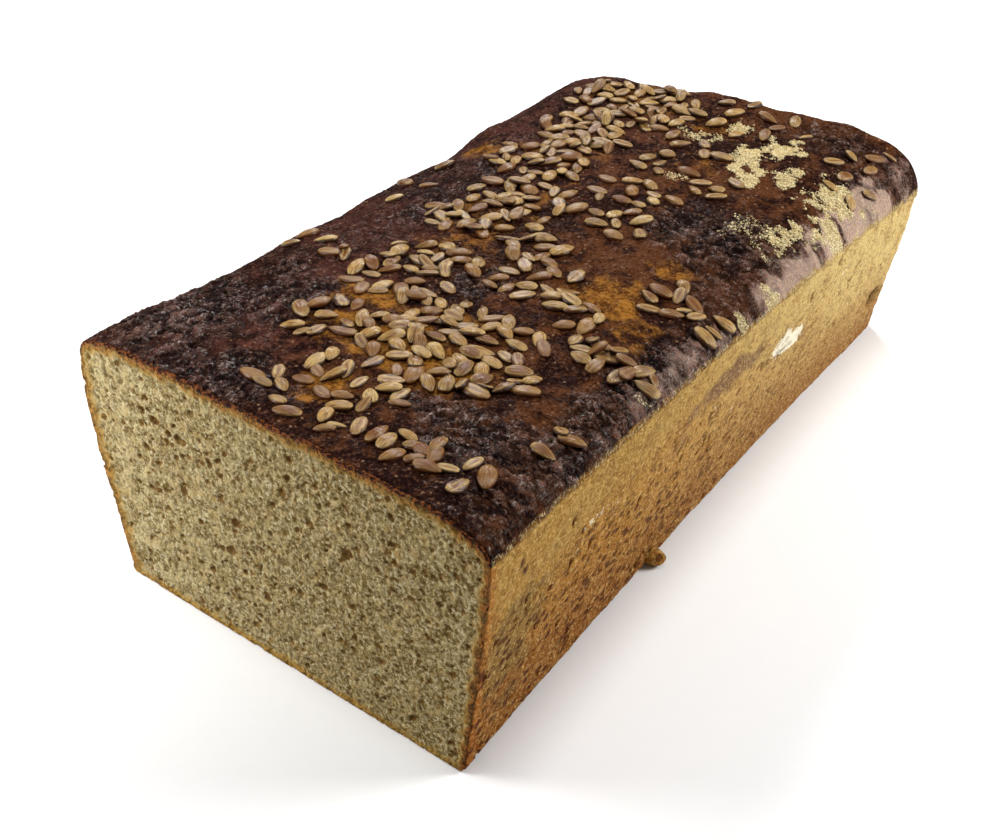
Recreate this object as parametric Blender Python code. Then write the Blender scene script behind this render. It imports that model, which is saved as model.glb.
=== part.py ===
"""A wholemeal tin loaf with one end cut off and sunflower seeds baked onto its top crust.

Metres, +Z up. The loaf lies along Y, its cut face looks towards -Y, and it rests on Z = 0.
The loaf is one solid: the seeds are fused to the crust that they lie on.
"""

import math
import random

import bmesh
import bpy
import numpy as np
from mathutils import Matrix, Vector, noise

MM = 0.001

# The tin's shape. Heights of the crust's upper edge fall from the cut to the far end.
LOAF_LENGTH = 214 * MM
TOP_WIDTH = 120 * MM
BOTTOM_WIDTH = 105.4 * MM
BELLIES = (2.2 * MM, 0.7 * MM)  # how far the left and right sides bulge, most at two thirds of the way up
SIDE_HEIGHT_AT_CUT = 62 * MM
SIDE_HEIGHT_AT_END = 49 * MM
WAIST = 1.7 * MM  # how far each side is drawn in at the middle of the loaf
END_TAPER = 3 * MM  # how far the end wall leans out from its foot to its top
END_SKEW = 6.5 * MM  # the end wall stands this much further out at the right side
END_CORNER_RADIUS = 6.5 * MM
END_SHOULDER_DROP = 2 * MM
FOOT_ROUNDING = 1 * MM
FOOT_HEIGHT = 2.5 * MM

# The dome of the top crust above the crust's upper edge, at the cut, half way and at the far end.
CROWN_AT_CUT = 4.6 * MM
CROWN_HALF_WAY = 7.4 * MM
CROWN_AT_END = 13 * MM
SHOULDER_POWER = 6.3  # how square the dome's shoulders are

# The knife's cut: it runs this much further forward at the right side than in the middle.
CUT_SKEW = 6.2 * MM
UNCUT_EXTRA = 16 * MM
CRUST_THICKNESS = 1.8 * MM
CRUMB_SET_BACK = 0.4 * MM

# Broad swells and dips of the dough, as x, y, radius and height in millimetres.
SWELLS = (
    (-50, -54, 17, -1.8),
    (-54, -92, 14, 1.2),
    (-48, -18, 15, -1.5),
    (-50, -6, 10, -1.3),
    (-48, 22, 15, -1.8),
    (-55, 39, 10, -2.0),
    (-40, 98, 14, 1.2),
    (2, 104, 12, 1.5),
    (-6, -58, 22, 1.2),
    (30, -62, 14, -1.0),
    (22, 18, 20, 0.9),
    (34, 96, 13, -1.4),
    (46, -4, 13, -0.9),
    (40, 72, 16, 0.8),
)
BLISTER_SIZE, BLISTER_HEIGHT = 13 * MM, 1.1 * MM
CRAG_SIZE, CRAG_HEIGHT = 6.5 * MM, 0.5 * MM
RELIEF_FADE = 8  # power by which the relief fades out towards the top's long edges

# Grid of the faceted loaf: how often each direction is divided.
CUTS_ACROSS, CUTS_ALONG, CUTS_UP = 16, 29, 4
ARC_SHARE = 0.12  # share of the lengthwise divisions that turn the far corners

# A blister hole low on the right side by the far corner, and a lump of dough at the foot.
HOLE_PLACE, HOLE_RADII = (57.5, 100, 14.5), (2.4, 4.4, 3.6)
LUMP_PLACE, LUMP_RADII = (51.8, -29.5, 2.1), (3.4, 2.6, 2)

# Where the seeds fell, as x, y, the patch's radii across and along, in millimetres, and how many.
SEED_PATCHES = (
    (38, -98, 14, 6, 13),
    (10, -98, 13, 5, 8),
    (-8, -93, 8, 4, 4),
    (6, -84, 14, 8, 16),
    (14, -65, 25, 11, 46),
    (-15, -67, 9, 9, 9),
    (12, -49, 20, 7, 22),
    (46, -43, 12, 5, 15),
    (52, -77, 3, 5, 3),
    (-13, -43, 15, 8, 14),
    (-36, -37, 5, 3, 3),
    (-12, -28, 14, 9, 19),
    (14, -24, 12, 10, 14),
    (29, -32, 6, 5, 6),
    (44, -12, 7, 9, 9),
    (57, -13, 2, 6, 3),
    (-14, -2, 20, 11, 25),
    (5, -10, 8, 8, 8),
    (-14, 17, 16, 9, 20),
    (14, 15, 8, 9, 8),
    (-24, 38, 15, 11, 23),
    (6, 33, 14, 8, 11),
    (-24, 60, 14, 13, 34),
    (-21, 85, 20, 16, 50),
    (5, 60, 14, 14, 11),
    (14, 93, 20, 10, 10),
    (25, 48, 8, 6, 5),
    (50, 86, 8, 19, 9),
    (-48, -32, 7, 8, 3),
    (-46, 18, 5, 22, 4),
)
SEEDS_FUSED = 205
SEED_DRAW = 41
SEED_LENGTHS = (7.2 * MM, 5.2 * MM)  # the first to fall are the longest
SEED_LENGTH_SPREAD = 0.6 * MM
SEED_WIDTH_SHARES = (0.5, 0.62)
SEED_DEPTH_SHARE = 0.6  # of the width
BLUNT_RING, POINTED_RING = (-0.31, 0.47), (0.14, 0.45)  # place along a unit seed, and radius
SEED_SINK = 0.3  # share of its depth that a seed sinks into what it lies on
SEED_STEEPEST = 0.55
SEED_LIES_ON = 90  # a seed rests on the highest part of its bed, leaving this per cent below it
PLACES_TRIED = 7
SEED_REACH = 55.5  # no seed lies further to the right, in millimetres
BED_CELL = 1 * MM


def share_along(y):
    """0 at the cut and 1 at the far end."""
    return y / LOAF_LENGTH + 0.5


def top_height(x, y):
    """Height of the smooth top crust, from its dome and its broad swells. Takes arrays too."""
    t = share_along(y)
    edge = SIDE_HEIGHT_AT_CUT + (SIDE_HEIGHT_AT_END - SIDE_HEIGHT_AT_CUT) * t
    crown = (
        CROWN_AT_CUT * (1 - t) * (1 - 2 * t)
        + CROWN_HALF_WAY * 4 * t * (1 - t)
        + CROWN_AT_END * t * (2 * t - 1)
    )
    across = np.minimum(abs(x) / (TOP_WIDTH / 2), 1)
    height = edge + crown * (1 - across**SHOULDER_POWER)
    for swell_x, swell_y, radius, swell_height in SWELLS:
        away = ((x / MM - swell_x) ** 2 + (y / MM - swell_y) ** 2) / radius**2
        height = height + swell_height * MM * np.exp(-away)
    return height


def crust_relief(x, y):
    """Blisters and crags of the top crust, about zero on average."""
    blisters = noise.noise(Vector((x, y, 0)) / BLISTER_SIZE) * BLISTER_HEIGHT
    return blisters + noise.noise(Vector((x, y, 0.3)) / CRAG_SIZE) * CRAG_HEIGHT


def half_width(across, height_share, t):
    """Half the loaf's width: straight walls that lean out, drawn in at the waist and bulged by the dough."""
    straight = BOTTOM_WIDTH + (TOP_WIDTH - BOTTOM_WIDTH) * height_share
    bulge = 27 / 4 * height_share**2 * (1 - height_share)  # at most 1
    return straight / 2 - WAIST * 4 * t * (1 - t) + BELLIES[across > 0] * bulge


def loaf_point(across, along, up):
    """Where a point of a box from -1 to 1 goes on the uncut loaf."""
    height_share = (up + 1) / 2
    length_share = (along + 1) / 2
    end = LOAF_LENGTH / 2 + END_SKEW * across - END_TAPER * (1 - height_share)
    near = -LOAF_LENGTH / 2 - UNCUT_EXTRA
    straight_share = 1 - ARC_SHARE
    turn = max(0, length_share - straight_share) / ARC_SHARE * math.pi / 2
    straight = (end - END_CORNER_RADIUS - near) * min(1, length_share / straight_share)
    y = near + straight + END_CORNER_RADIUS * math.sin(turn)
    half = half_width(across, height_share, share_along(y))
    x = (half - END_CORNER_RADIUS * (1 - math.cos(turn))) * across
    z = top_height(x, y) - END_SHOULDER_DROP * (1 - math.cos(turn))
    z *= height_share
    first_row = 1 / (CUTS_UP + 1)
    if up == 1:
        z += crust_relief(x, y) * (1 - abs(across) ** RELIEF_FADE)
    elif up == -1 and abs(across) == 1:
        x -= FOOT_ROUNDING * across
    elif up != -1 and height_share < 1.5 * first_row:
        z = FOOT_HEIGHT
    return x, y, z


def link(name, bm, material=None):
    """Makes an object of a bmesh."""
    mesh = bpy.data.meshes.new(name)
    bm.to_mesh(mesh)
    bm.free()
    made = bpy.data.objects.new(name, mesh)
    bpy.context.scene.collection.objects.link(made)
    if material:
        mesh.materials.append(material)
    return made


def crust_material():
    """Baked crust, a dark glossy brown."""
    material = bpy.data.materials.new("crust")
    material.use_nodes = True
    shader = material.node_tree.nodes["Principled BSDF"]
    shader.inputs["Base Color"].default_value = (0.11, 0.045, 0.016, 1)
    shader.inputs["Roughness"].default_value = 0.5
    shader.inputs["Metallic"].default_value = 0
    return material


def divided_box():
    """A box from -1 to 1 with a grid on every side."""
    bm = bmesh.new()
    bmesh.ops.create_cube(bm, size=2)
    for axis, cuts in enumerate((CUTS_ACROSS, CUTS_ALONG, CUTS_UP)):
        lengthwise = [
            edge
            for edge in bm.edges
            if abs((edge.verts[0].co - edge.verts[1].co)[axis]) > 1
        ]
        bmesh.ops.subdivide_edges(bm, edges=lengthwise, cuts=cuts, use_grid_fill=True)
    return bm


def slice_end_off(bm):
    """Cuts the near end off along the knife's plane, and sets the crumb back inside the crust's rim."""
    normal = Vector((CUT_SKEW / (TOP_WIDTH / 2), 1, 0)).normalized()
    everything = bm.verts[:] + bm.edges[:] + bm.faces[:]
    bmesh.ops.bisect_plane(
        bm,
        geom=everything,
        plane_co=(0, -LOAF_LENGTH / 2, 0),
        plane_no=normal,
        clear_inner=True,
    )
    rim = [edge for edge in bm.edges if edge.is_boundary]
    cut_face = bmesh.ops.edgeloop_fill(bm, edges=rim)["faces"]
    bmesh.ops.recalc_face_normals(bm, faces=bm.faces[:])
    bmesh.ops.inset_region(
        bm, faces=cut_face, thickness=CRUST_THICKNESS, depth=-CRUMB_SET_BACK
    )


def loaf_body(material):
    """The loaf without its seeds, with a flat foot of one face."""
    bm = divided_box()
    for vert in bm.verts:
        vert.co = loaf_point(*vert.co)
    slice_end_off(bm)
    foot = [face for face in bm.faces if all(v.co.z < 1e-6 for v in face.verts)]
    bmesh.ops.dissolve_faces(bm, faces=foot)
    return link("loaf", bm, material)


def rounded_lump(name, place, radii, facets):
    """A faceted ellipsoid, its place and radii in millimetres."""
    bm = bmesh.new()
    bmesh.ops.create_icosphere(bm, subdivisions=facets, radius=1)
    made = link(name, bm)
    made.matrix_world = Matrix.LocRotScale(Vector(place) * MM, None, Vector(radii) * MM)
    return made


def kernel_mesh():
    """A shelled sunflower seed of unit length, width and depth: blunt at -X, pointed at +X."""
    bm = bmesh.new()
    bmesh.ops.create_uvsphere(bm, u_segments=6, v_segments=3, radius=0.5)
    bmesh.ops.rotate(bm, verts=bm.verts, matrix=Matrix.Rotation(math.pi / 2, 3, "Y"))
    for vert in bm.verts:
        if abs(vert.co.x) < 0.4:
            ring_x, ring_radius = BLUNT_RING if vert.co.x < 0 else POINTED_RING
            vert.co.yz = vert.co.yz.normalized() * ring_radius
            vert.co.x = ring_x
    mesh = bpy.data.meshes.new("kernel")
    bm.to_mesh(mesh)
    bm.free()
    return mesh


def order_of_fall():
    """The patch that each seed falls on, one after the other, so that any first part is evenly spread."""
    turns = []
    for index, patch in enumerate(SEED_PATCHES):
        count = patch[-1]
        turns += [((k + 0.5) / count, index) for k in range(count)]
    return [SEED_PATCHES[index] for _, index in sorted(turns)]


def clear_place(draw, patch, taken):
    """Of a few random places in the patch, the one furthest from the seeds that are there."""
    x, y, radius_x, radius_y, _ = patch
    best, best_gap = None, -1
    for _ in range(PLACES_TRIED):
        turn = draw.uniform(0, 2 * math.pi)
        reach = math.sqrt(draw.random())
        across = x + radius_x * reach * math.cos(turn)
        along = y + radius_y * reach * math.sin(turn)
        place = Vector((min(across, SEED_REACH), along)) * MM
        gap = min([(place - other).length for other in taken], default=1)
        if gap > best_gap:
            best, best_gap = place, gap
    return best


def bed_of_crust():
    """Heights of what a seed can land on, in cells over the top, and the cells' places."""
    xs = np.arange(-TOP_WIDTH / 2, TOP_WIDTH / 2, BED_CELL)
    ys = np.arange(-LOAF_LENGTH / 2 - UNCUT_EXTRA, LOAF_LENGTH / 2 + UNCUT_EXTRA, BED_CELL)
    grid_x, grid_y = np.meshgrid(xs, ys, indexing="ij")
    return grid_x, grid_y, top_height(grid_x, grid_y)


def rest_on_bed(bed, place, turn, size):
    """Lays a seed on the bed, leaning as the bed does, raises the bed by it, and gives its matrix."""
    grid_x, grid_y, heights = bed
    away_x, away_y = grid_x - place.x, grid_y - place.y
    along = away_x * math.cos(turn) + away_y * math.sin(turn)
    across = -away_x * math.sin(turn) + away_y * math.cos(turn)
    length, width, depth = size
    inside = (along / (length / 2)) ** 2 + (across / (width / 2)) ** 2
    under = inside < 1
    if not under.any():
        return None
    a, c, h = along[under], across[under], heights[under]
    ones = np.ones_like(a)
    slope_a, slope_c, _ = np.linalg.lstsq(np.stack([a, c, ones], 1), h, rcond=None)[0]
    slope_a, slope_c = np.clip((slope_a, slope_c), -SEED_STEEPEST, SEED_STEEPEST)
    belly = depth / 2 * np.sqrt(1 - inside[under])
    clearance = h - slope_a * a - slope_c * c + belly
    level = np.percentile(clearance, SEED_LIES_ON) - SEED_SINK * depth
    back = level + slope_a * a + slope_c * c + belly
    heights[under] = np.maximum(h, back)
    forward = Vector((math.cos(turn), math.sin(turn), slope_a)).normalized()
    side = Vector((-math.sin(turn), math.cos(turn), slope_c)).normalized()
    up = forward.cross(side).normalized()
    side = up.cross(forward)
    turned = Matrix((forward, side, up)).transposed()
    centre = Vector((place.x, place.y, level))
    return Matrix.LocRotScale(centre, turned.to_quaternion(), Vector(size))


def seed_matrices(count):
    """Where the first seeds lie, in the order in which they fell."""
    draw = random.Random(SEED_DRAW)
    bed = bed_of_crust()
    fall = order_of_fall()
    taken, matrices = [], []
    for number, patch in enumerate(fall[:count]):
        place = clear_place(draw, patch, taken)
        taken.append(place)
        longest, shortest = SEED_LENGTHS
        length = longest + (shortest - longest) * number / len(fall)
        length += draw.uniform(-SEED_LENGTH_SPREAD, SEED_LENGTH_SPREAD)
        width = length * draw.uniform(*SEED_WIDTH_SHARES)
        size = (length, width, width * SEED_DEPTH_SHARE)
        matrix = rest_on_bed(bed, place, draw.uniform(0, 2 * math.pi), size)
        if matrix:
            matrices.append(matrix)
    return matrices


def fuse(body, pieces, operation="UNION", solver="EXACT"):
    """Joins pieces to the body, or cuts them from it, with one Boolean that is applied at once."""
    group = bpy.data.collections.new("pieces")
    bpy.context.scene.collection.children.link(group)
    for piece in pieces:
        group.objects.link(piece)
    boolean = body.modifiers.new("fuse", "BOOLEAN")
    boolean.operation = operation
    boolean.operand_type = "COLLECTION"
    boolean.collection = group
    boolean.solver = solver
    bpy.context.view_layer.update()
    fused = bpy.data.meshes.new_from_object(
        body.evaluated_get(bpy.context.evaluated_depsgraph_get())
    )
    body.modifiers.clear()
    body.data = fused
    for piece in pieces:
        bpy.data.objects.remove(piece)
    bpy.data.collections.remove(group)


def keep_outer_shell(body):
    """Drops sealed hollows and loose scraps, so that one closed surface is left."""
    bm = bmesh.new()
    bm.from_mesh(body.data)
    bmesh.ops.triangulate(bm, faces=bm.faces[:])
    unseen = set(bm.verts)
    shells = []
    while unseen:
        shell, front = set(), [unseen.pop()]
        while front:
            vert = front.pop()
            shell.add(vert)
            joined = {edge.other_vert(vert) for edge in vert.link_edges} & unseen
            unseen -= joined
            front += joined
        shells.append(shell)
    shells.sort(key=len)
    for shell in shells[:-1]:
        bmesh.ops.delete(bm, geom=list(shell), context="VERTS")
    bm.to_mesh(body.data)
    bm.free()


def centre_on_foot(body):
    """Moves the mesh so that the middle of its box stands over the origin."""
    xs, ys, zs = zip(*(vert.co for vert in body.data.vertices))
    middle = Vector(((min(xs) + max(xs)) / 2, (min(ys) + max(ys)) / 2, min(zs)))
    body.data.transform(Matrix.Translation(-middle))


def main():
    for old in list(bpy.data.objects):
        bpy.data.objects.remove(old)
    body = loaf_body(crust_material())
    hole = rounded_lump("hole", HOLE_PLACE, HOLE_RADII, 2)
    fuse(body, [hole], "DIFFERENCE")
    pieces = [rounded_lump("lump", LUMP_PLACE, LUMP_RADII, 2)]
    kernel = kernel_mesh()
    for number, matrix in enumerate(seed_matrices(SEEDS_FUSED)):
        seed = bpy.data.objects.new(f"seed_{number}", kernel)
        seed.matrix_world = matrix
        pieces.append(seed)
    fuse(body, pieces)
    keep_outer_shell(body)
    centre_on_foot(body)


main()
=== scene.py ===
"""Looks of the wholemeal loaf: a burnt, blistered top crust, tan sides, the cut crumb, sunflower seeds
and loose meal.

Metres, +Z up. The pieces are shaped in the loaf's own frame, with the same sizes and rules as its
solid, and set so that the middle of the loaf's box stands over the origin.
"""

import math
import random

import bpy
import numpy as np
from mathutils import Matrix, Vector, noise


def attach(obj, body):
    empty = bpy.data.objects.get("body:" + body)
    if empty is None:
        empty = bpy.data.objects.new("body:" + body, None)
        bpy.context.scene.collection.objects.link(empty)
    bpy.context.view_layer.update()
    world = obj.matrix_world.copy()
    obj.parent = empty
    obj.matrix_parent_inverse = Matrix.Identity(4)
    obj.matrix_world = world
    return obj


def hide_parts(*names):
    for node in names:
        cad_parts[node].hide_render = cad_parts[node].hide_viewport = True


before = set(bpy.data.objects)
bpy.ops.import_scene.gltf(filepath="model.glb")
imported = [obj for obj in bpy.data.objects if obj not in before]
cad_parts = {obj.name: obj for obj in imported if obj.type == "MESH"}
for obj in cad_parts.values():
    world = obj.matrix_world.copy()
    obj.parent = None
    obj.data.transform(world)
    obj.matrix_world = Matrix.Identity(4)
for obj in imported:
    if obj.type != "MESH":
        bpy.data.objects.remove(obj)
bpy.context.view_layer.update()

MM = 0.001

# The loaf's form, as in its solid.
LOAF_LENGTH = 214 * MM
TOP_WIDTH = 120 * MM
BOTTOM_WIDTH = 105.4 * MM
BELLIES = (2.2 * MM, 0.7 * MM)
SIDE_HEIGHT_AT_CUT = 62 * MM
SIDE_HEIGHT_AT_END = 49 * MM
WAIST = 1.7 * MM
END_TAPER = 3 * MM
END_SKEW = 6.5 * MM
END_CORNER_RADIUS = 6.5 * MM
FOOT_ROUNDING = 1.4 * MM
CROWN_AT_CUT = 4.6 * MM
CROWN_HALF_WAY = 7.4 * MM
CROWN_AT_END = 13 * MM
SHOULDER_POWER = 6.3
CUT_SKEW = 6.2 * MM
SWELLS = (
    (-50, -54, 17, -1.8),
    (-54, -92, 14, 1.2),
    (-48, -18, 15, -1.5),
    (-50, -6, 10, -1.3),
    (-48, 22, 15, -1.8),
    (-55, 39, 10, -2.0),
    (-40, 98, 14, 1.2),
    (2, 104, 12, 1.5),
    (-6, -58, 22, 1.2),
    (30, -62, 14, -1.0),
    (22, 18, 20, 0.9),
    (34, 96, 13, -1.4),
    (46, -4, 13, -0.9),
    (40, 72, 16, 0.8),
)
BLISTER_SIZE, BLISTER_HEIGHT = 13 * MM, 1.1 * MM
CRAG_SIZE, CRAG_HEIGHT = 6.5 * MM, 0.5 * MM
RELIEF_FADE = 8  # the power by which the blisters fade towards the shoulders
HOLE_PLACE = (100, 14.5)  # along and up, on the right wall, in millimetres
HOLE_RADII = (2.4, 4.4, 3.6)
LUMP_PLACE, LUMP_RADII = (51.8, -29.5, 2.1), (3.4, 2.6, 2)
LOAF_MIDDLE = Vector((-0.02, 0.14, 0)) * MM  # of its box, in its own frame

# What only the looks have.
SHOULDER_RADIUS = 3 * MM
WALL_DEPTH = 2.4 * MM  # thickness of the crust pieces
LIP = 0.5 * MM  # the top crust reaches this far down over the sides
BEHIND_CUT = 0.8 * MM  # the crust pieces start this far behind the cut face
LEAST_HEIGHT = 0.12 * MM  # of the sides' and the crumb's lowest points
HIGHEST = 67.85 * MM  # nothing stands higher, as in the solid
SHOULDER_FADE = 0.6  # the share of the top's relief that is lost where the shoulder is steepest
MEAL_LAYER = 0.2 * MM  # height of the meal where it lies thickest


def share_along(y):
    """0 at the cut and 1 at the far end."""
    return y / LOAF_LENGTH + 0.5


def smooth(share):
    """Eases a share from 0 to 1, and holds it there outside."""
    share = np.clip(share, 0, 1)
    return share * share * (3 - 2 * share)


def top_height(x, y):
    """Height of the smooth top crust, from its dome and its broad swells."""
    t = share_along(y)
    edge = SIDE_HEIGHT_AT_CUT + (SIDE_HEIGHT_AT_END - SIDE_HEIGHT_AT_CUT) * t
    crown = (
        CROWN_AT_CUT * (1 - t) * (1 - 2 * t)
        + CROWN_HALF_WAY * 4 * t * (1 - t)
        + CROWN_AT_END * t * (2 * t - 1)
    )
    across = np.minimum(abs(x) / (TOP_WIDTH / 2), 1)
    height = edge + crown * (1 - across**SHOULDER_POWER)
    for swell_x, swell_y, radius, swell_height in SWELLS:
        away = ((x / MM - swell_x) ** 2 + (y / MM - swell_y) ** 2) / radius**2
        height = height + swell_height * MM * np.exp(-away)
    return height


def half_width(side, height_share, y):
    """Half the loaf's width at a height, on its left (side below 0) or right."""
    t = share_along(y)
    straight = BOTTOM_WIDTH + (TOP_WIDTH - BOTTOM_WIDTH) * height_share
    bulge = 27 / 4 * height_share**2 * (1 - height_share)
    belly = np.where(side > 0, BELLIES[1], BELLIES[0])
    return straight / 2 - WAIST * 4 * t * (1 - t) + belly * bulge


def end_of(across, height_share):
    """Where the far end wall stands, for a share across from -1 to 1."""
    return LOAF_LENGTH / 2 + END_SKEW * across - END_TAPER * (1 - height_share)


def cut_at(x):
    """Where the knife's plane stands."""
    return -LOAF_LENGTH / 2 - CUT_SKEW * x / (TOP_WIDTH / 2)


def flat_points(x, y):
    """The points at height 0."""
    return np.stack([x, y, 0 * x], 1)


def noise_at(points, size, octaves=1, draw=0.0):
    """Smooth noise at each point, from about -1 to 1, with bumps of the given size."""
    offset = Vector((draw, draw, draw))
    values = [
        noise.fractal(Vector(point) / size + offset, 1, 2, octaves) for point in points.tolist()
    ]
    return np.array(values)


def pits_at(points, size, share, draw, largest=0.5):
    """Depth of round pits at each point. A share of the cells of the given size holds a pit."""
    offset = Vector((draw, draw, draw))
    depths = []
    for point in points.tolist():
        distances, cells = noise.voronoi(Vector(point) / size + offset)
        luck = (noise.cell(cells[0] * 31.7) + 1) / 2
        radius = largest * (luck - 1 + share) / share
        inside = radius * radius - distances[0] ** 2 if radius > 0 else 0
        depths.append(math.sqrt(inside) if inside > 0 else 0)
    return np.array(depths) * size


def patches_at(u, v, patches, draw, ragged=0.5, grain=7 * MM):
    """0 to 1: how strongly each point lies in ragged patches, given as u, v, two radii and a strength."""
    uneven = noise_at(flat_points(u, v), grain, 4, draw) * ragged
    strength = np.zeros_like(u)
    for patch_u, patch_v, radius_u, radius_v, most in patches:
        away = np.hypot((u / MM - patch_u) / radius_u, (v / MM - patch_v) / radius_v)
        strength = np.maximum(strength, most * smooth(1.3 - away + uneven))
    return strength


# Where the top crust is crumpled most, as x, y, radii in millimetres and strength.
CRUMPLED = (
    (-46, -80, 18, 28, 1.0),
    (-34, -62, 16, 18, 0.8),
    (54, -60, 9, 56, 1.0),
    (40, -88, 12, 12, 0.7),
    (52, 14, 11, 36, 0.6),
    (28, 22, 9, 13, 0.7),
    (3, -30, 7, 9, 0.6),
    (26, -82, 10, 7, 0.7),
    (-40, 0, 16, 50, 0.35),
    (40, 98, 20, 10, 0.7),
    (54, 80, 7, 26, 0.7),
    (-28, -97, 26, 9, 0.9),
    (42, 20, 14, 20, 0.85),
)
SWAY_SIZE, SWAY = 4 * MM, 1.8 * MM
FOLD_SIZE, FOLD_HEIGHT = 2.8 * MM, 1.4 * MM
WRINKLE_SIZE, WRINKLE_DEPTH = 1.5 * MM, 1.1 * MM
FOLDS_LOWERED = 0.18 * MM
TOP_GRAIN_SIZE, TOP_GRAIN_HEIGHT = 1.1 * MM, 0.16 * MM
LEAST_FOLDED = 0.28  # the share of the folds where the crust isn't crumpled


def crumple_at(x, y):
    return patches_at(x, y, CRUMPLED, 3.1)


def folds_at(x, y):
    """Folds and finer wrinkles of the leathery crust, about -1 to 1 mm, with narrow valleys.

    They run along the loaf on its left and more across it on its right."""
    flat = flat_points(x, y)
    sway = np.stack([noise_at(flat, SWAY_SIZE, 2, draw) for draw in (7.7, 9.2)] + [0 * x], 1)
    bent = flat + sway * SWAY
    right = smooth((x / MM + 10) / 40)
    bent = bent * np.stack([1 - 0.3 * right, 0.5 + 0.5 * right, 1 + 0 * x], 1)
    folds = np.sqrt(abs(noise_at(bent, FOLD_SIZE, 1, 1.3))) * FOLD_HEIGHT
    wrinkles = np.sqrt(abs(noise_at(bent, WRINKLE_SIZE, 1, 4.9))) * WRINKLE_DEPTH
    return folds - wrinkles - FOLDS_LOWERED


def top_relief(x, y):
    """Blisters, crags and folds of the top crust: height above the smooth dome."""
    flat = flat_points(x, y)
    lifted = flat + (0, 0, 0.3)
    form = noise_at(flat, BLISTER_SIZE) * BLISTER_HEIGHT + noise_at(lifted, CRAG_SIZE) * CRAG_HEIGHT
    across = np.minimum(abs(x) / (TOP_WIDTH / 2), 1)
    form = form * (1 - 0.8 * across**RELIEF_FADE)
    rough = LEAST_FOLDED + (1 - LEAST_FOLDED) * crumple_at(x, y)
    grain = noise_at(flat, TOP_GRAIN_SIZE, 2, 2.2) * TOP_GRAIN_HEIGHT
    return form + rough * folds_at(x, y) + grain


# The sides' relief. Pits are given as the size of their cells, the share of cells that hold one, their
# draw and their largest radius.
DENT_SIZE, DENT_DEPTH = 16 * MM, 0.3 * MM
WAVE_SIZE, WAVE_HEIGHT = 4.5 * MM, 0.16 * MM
SIDE_GRAIN_SIZE, SIDE_GRAIN_HEIGHT = 1.3 * MM, 0.14 * MM
PITTED_BELOW, PITTED_FADE = 48 * MM, 16 * MM
LOW_PITS = ((2.3 * MM, 0.3, 11.3, 0.36), (1.6 * MM, 0.5, 6.4, 0.4))
RARE_PITS = (2.8 * MM, 0.05, 15.8, 0.36)
PITS_DEEPENED = 1.3


def side_relief(points, height):
    """Dents, pinholes and grain of the tin-baked sides, never proud of the wall. Gives the pits too."""
    low = smooth((PITTED_BELOW - height) / PITTED_FADE)
    dents = noise_at(points, DENT_SIZE, 2, 5.5) * DENT_DEPTH - DENT_DEPTH
    waves = noise_at(points * (1, 1, 1.6), WAVE_SIZE, 2, 8.1) * WAVE_HEIGHT
    tall = points * (1, 1, 0.65)
    pits = pits_at(tall, *RARE_PITS)
    for kind in LOW_PITS:
        pits = np.maximum(pits, pits_at(tall, *kind) * low)
    pits = pits * PITS_DEEPENED
    grain = noise_at(points, SIDE_GRAIN_SIZE, 2, 3.3) * SIDE_GRAIN_HEIGHT
    return np.minimum(dents + waves + grain, 0) - pits, pits


def deselect_all():
    if bpy.context.mode != "OBJECT":
        bpy.ops.object.mode_set(mode="OBJECT")
    bpy.ops.object.select_all(action="DESELECT")


def begin(name, add_primitive, **settings):
    """Adds a primitive, the only thing selected, and names it."""
    deselect_all()
    add_primitive(**settings)
    made = bpy.context.object
    made.name = made.data.name = name
    return made


def coordinates(piece):
    """The piece's vertices as an array."""
    flat = np.empty(len(piece.data.vertices) * 3)
    piece.data.vertices.foreach_get("co", flat)
    return flat.reshape(-1, 3)


def put(piece, places):
    """Moves the piece's vertices to the places, given in the loaf's own frame."""
    placed = places - np.array(LOAF_MIDDLE)
    piece.data.vertices.foreach_set("co", placed.ravel())
    piece.data.update()


def paint(piece, **masks):
    """Stores one number at each vertex under each name, for the materials to read."""
    for name, values in masks.items():
        layer = piece.data.attributes.new(name, "FLOAT", "POINT")
        layer.data.foreach_set("value", np.broadcast_to(values, len(piece.data.vertices)).ravel())


def divide(axis, cuts):
    """In edit mode, divides the edges that run along an axis, a step of cuts at a time."""
    for count in cuts:
        bpy.ops.mesh.select_all(action="DESELECT")
        bpy.ops.object.mode_set(mode="OBJECT")
        mesh = bpy.context.object.data
        places = coordinates(bpy.context.object)
        ends = np.empty(len(mesh.edges) * 2, int)
        mesh.edges.foreach_get("vertices", ends)
        ends = ends.reshape(-1, 2)
        lengthwise = abs(places[ends[:, 0]] - places[ends[:, 1]])[:, axis] > 1e-7
        mesh.edges.foreach_set("select", lengthwise)
        bpy.ops.object.mode_set(mode="EDIT")
        bpy.ops.mesh.select_mode(type="EDGE")
        bpy.ops.mesh.subdivide(number_cuts=count)


def ringed_tube(name, around, cuts):
    """A closed tube of many rings, and each vertex's number around and ring. It is shaped afterwards."""
    sizes = {"vertices": around, "radius": 1, "depth": 2, "end_fill_type": "NGON"}
    tube = begin(name, bpy.ops.mesh.primitive_cylinder_add, **sizes)
    bpy.ops.object.mode_set(mode="EDIT")
    bpy.ops.mesh.select_mode(type="EDGE")
    divide(2, cuts)
    bpy.ops.object.mode_set(mode="OBJECT")
    x, y, z = coordinates(tube).T
    rings = math.prod(cut + 1 for cut in cuts)
    turn = np.rint(np.arctan2(y, x) / (2 * math.pi) * around).astype(int) % around
    ring = np.rint((z + 1) / 2 * rings).astype(int)
    return tube, turn, ring, rings


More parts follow.
